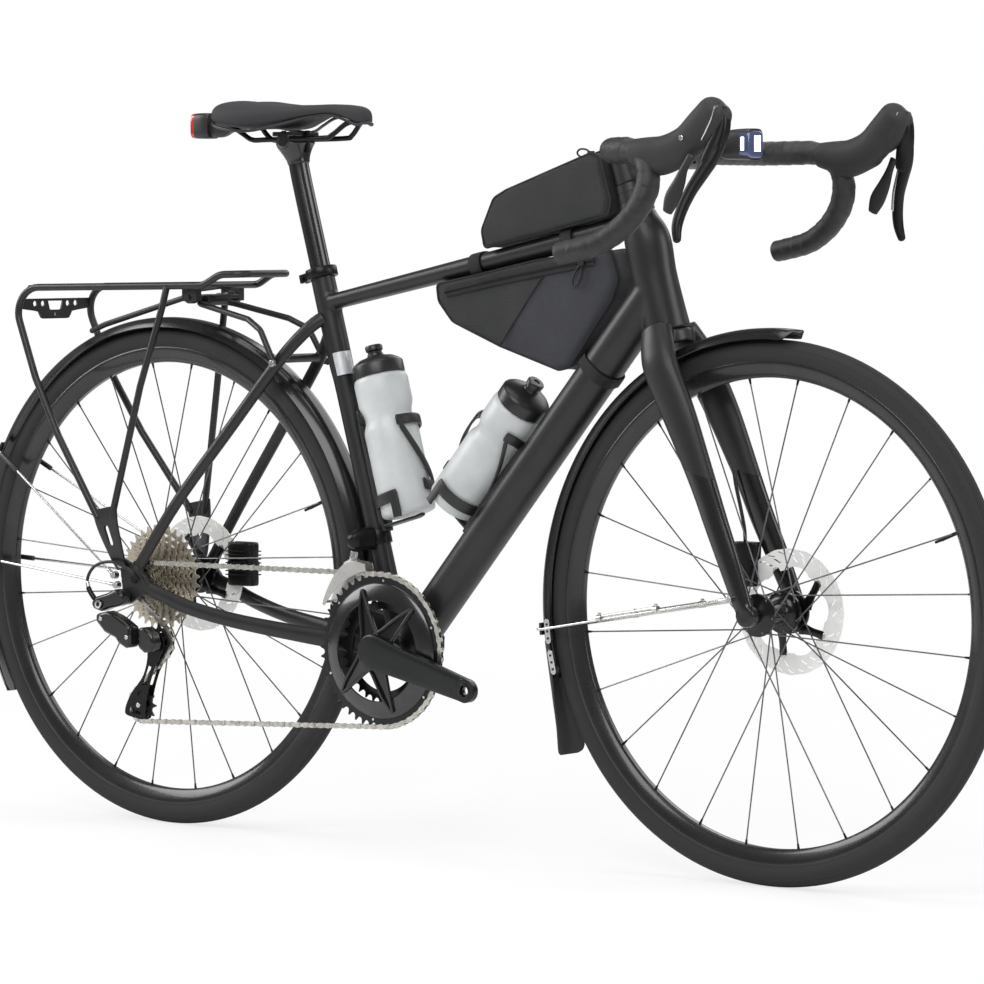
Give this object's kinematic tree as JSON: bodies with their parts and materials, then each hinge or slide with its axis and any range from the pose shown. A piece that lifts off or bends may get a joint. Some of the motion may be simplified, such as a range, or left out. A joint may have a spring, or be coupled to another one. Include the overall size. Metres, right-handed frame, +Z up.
{
  "type": "road bike",
  "caption": "Drop-bar road bike with disc brakes, mudguards, rear rack, frame bags, bottles and lights; steering, wheels, drivetrain, gears, levers and seat move.",
  "frame": {"origin": "on the ground, below the middle of the bike's length and width", "axes": "+X forward along the bike, +Y to the rider's left, +Z up"},
  "size_m": [1.7126, 0.5068, 0.9945],
  "materials": {
    "frame_paint": "matte anthracite paint",
    "gloss_black": "gloss",
    "post_black": "gloss black",
    "tyre_rubber": "matte rubber",
    "rim_black": "satin black anodised",
    "spoke_black": "satin black",
    "steel": "bright",
    "cog_steel": "plated",
    "black_alloy": "black anodised",
    "rubber": "matte",
    "tape": "matte, wrapped",
    "saddle_cover": "matte",
    "bag_cloth": "woven",
    "bottle": "frosted",
    "black_plastic": "satin",
    "rack_paint": "satin black powder coat"
  },
  "bodies": {
    "frame": {"main_frame": "frame_paint", "seat_stays": "frame_paint", "chain_stays": "frame_paint", "seat_clamp": "black_alloy", "rear_axle": "black_alloy", "rear_guard": "gloss_black", "rear_stay_upper": "steel", "rear_stay_lower": "steel", "rack_frame": "rack_paint", "rack_arms": "rack_paint", "rear_caliper": "black_alloy", "front_mech": "black_alloy", "cage_seat_tube": "black_plastic", "cage_down_tube": "black_plastic", "top_tube_bag": "bag_cloth", "frame_bag": "bag_cloth", "gear_cable": "rubber", "chain": "steel", "mech_body": "black_alloy"},
    "steering": {"fork": "frame_paint", "headset_spacers": "frame_paint", "stem": "frame_paint", "handlebar": "tape", "hood_right": "rubber", "hood_left": "rubber", "front_light": "black_plastic", "front_guard": "gloss_black", "front_stay": "steel", "front_caliper": "black_alloy", "front_hose": "rubber", "front_axle": "black_alloy"},
    "front_wheel": {"front_tyre": "tyre_rubber", "front_rim": "rim_black", "front_hub": "spoke_black", "front_rotor": "steel"},
    "rear_wheel": {"rear_tyre": "tyre_rubber", "rear_rim": "rim_black", "rear_hub": "spoke_black", "rear_rotor": "steel"},
    "cassette": {"cassette": "cog_steel"},
    "crankset": {"crank_right": "black_alloy", "crank_left": "black_alloy", "chainring_outer": "black_alloy", "chainring_inner": "black_alloy"},
    "mech_link": {"mech_link": "black_alloy"},
    "mech_knuckle": {"mech_knuckle": "black_alloy"},
    "mech_cage": {"mech_cage": "black_alloy"},
    "guide_pulley": {"guide_pulley": "black_plastic"},
    "tension_pulley": {"tension_pulley": "black_plastic"},
    "front_mech_cage": {"front_mech_cage": "steel"},
    "seat": {"seatpost": "post_black", "saddle": "saddle_cover", "saddle_rails": "black_alloy", "rear_light": "black_plastic"},
    "brake_lever_right": {"brake_lever_right": "black_alloy"},
    "brake_lever_left": {"brake_lever_left": "black_alloy"},
    "shift_paddle_right": {"shift_paddle_right": "black_plastic"},
    "shift_paddle_left": {"shift_paddle_left": "black_plastic"},
    "bottle_seat_tube": {"bottle_seat_tube": "bottle"},
    "bottle_down_tube": {"bottle_down_tube": "bottle"}
  },
  "joints": [
    {"name": "steering_turn", "type": "hinge", "parent": "frame", "child": "steering", "pos_m": [0.35189, 0, 0.691], "axis": [-0.309, 0, 0.9511], "range_deg": [-45, 45]},
    {"name": "front_wheel_spin", "type": "hinge", "parent": "steering", "child": "front_wheel", "pos_m": [0.51333, 0, 0.343], "axis": [0, 1, 0], "continuous": true},
    {"name": "rear_wheel_spin", "type": "hinge", "parent": "frame", "child": "rear_wheel", "pos_m": [-0.49567, 0, 0.343], "axis": [0, 1, 0], "continuous": true},
    {"name": "crank_spin", "type": "hinge", "parent": "frame", "child": "crankset", "pos_m": [-0.08617, 0, 0.2656], "axis": [0, 1, 0], "continuous": true, "deforming": ["chain"]},
    {"name": "cassette_spin", "type": "hinge", "parent": "frame", "child": "cassette", "pos_m": [-0.49567, 0, 0.343], "axis": [0, 1, 0], "continuous": true, "deforming": ["chain"]},
    {"name": "mech_link_swing", "type": "hinge", "parent": "frame", "child": "mech_link", "pos_m": [-0.54067, -0.093, 0.298], "axis": [0.252, 0.329, 0.9101], "range_deg": [0, 27], "stiffness_Nm_per_rad": 0.6, "springref_deg": -28.65, "deforming": ["chain"]},
    {"name": "mech_knuckle_swing", "type": "hinge", "parent": "mech_link", "child": "mech_knuckle", "pos_m": [-0.47767, -0.083, 0.266], "axis": [0.252, 0.329, 0.9101], "range_deg": [-27, 0], "deforming": ["chain"]},
    {"name": "mech_cage_swing", "type": "hinge", "parent": "mech_knuckle", "child": "mech_cage", "pos_m": [-0.46167, -0.064, 0.258], "axis": [0, 1, 0], "range_deg": [-50, 20], "stiffness_Nm_per_rad": 0.4, "deforming": ["chain"]},
    {"name": "guide_pulley_spin", "type": "hinge", "parent": "mech_cage", "child": "guide_pulley", "pos_m": [-0.46167, -0.064, 0.258], "axis": [0, 1, 0], "continuous": true, "deforming": ["chain"]},
    {"name": "tension_pulley_spin", "type": "hinge", "parent": "mech_cage", "child": "tension_pulley", "pos_m": [-0.49547, -0.064, 0.16921], "axis": [0, 1, 0], "continuous": true, "deforming": ["chain"]},
    {"name": "front_mech_shift", "type": "slide", "parent": "frame", "child": "front_mech_cage", "axis": [0, 1, 0], "range_m": [0, 0.009], "deforming": ["chain"]},
    {"name": "seatpost_slide", "type": "slide", "parent": "frame", "child": "seat", "axis": [-0.2689, 0, 0.9632], "range_m": [-0.025, 0.06]},
    {"name": "brake_lever_right_pull", "type": "hinge", "parent": "steering", "child": "brake_lever_right", "pos_m": [0.57333, -0.204, 0.933], "axis": [0, 1, 0], "range_deg": [0, 12], "stiffness_Nm_per_rad": 0.8, "springref_deg": -28.65},
    {"name": "brake_lever_left_pull", "type": "hinge", "parent": "steering", "child": "brake_lever_left", "pos_m": [0.57333, 0.204, 0.933], "axis": [0, 1, 0], "range_deg": [0, 12], "stiffness_Nm_per_rad": 0.8, "springref_deg": -28.65},
    {"name": "shift_paddle_right_push", "type": "hinge", "parent": "brake_lever_right", "child": "shift_paddle_right", "pos_m": [0.53233, -0.2225, 0.894], "axis": [1, 0, 0], "range_deg": [0, 10], "stiffness_Nm_per_rad": 0.05, "springref_deg": -22.92},
    {"name": "shift_paddle_left_push", "type": "hinge", "parent": "brake_lever_left", "child": "shift_paddle_left", "pos_m": [0.53233, 0.2225, 0.894], "axis": [-1, 0, 0], "range_deg": [0, 10], "stiffness_Nm_per_rad": 0.05, "springref_deg": -22.92},
    {"name": "bottle_seat_tube_slide", "type": "slide", "parent": "frame", "child": "bottle_seat_tube", "axis": [0, -1, 0], "range_m": [0, 0.09]},
    {"name": "bottle_down_tube_slide", "type": "slide", "parent": "frame", "child": "bottle_down_tube", "axis": [0, -1, 0], "range_m": [0, 0.09]}
  ],
  "couplings": [
    {"joint": "cassette_spin", "follows": "crank_spin", "ratio": 4.5455},
    {"joint": "guide_pulley_spin", "follows": "crank_spin", "ratio": -4.5455},
    {"joint": "tension_pulley_spin", "follows": "crank_spin", "ratio": 4.5455},
    {"joint": "mech_knuckle_swing", "follows": "mech_link_swing", "ratio": -1}
  ]
}
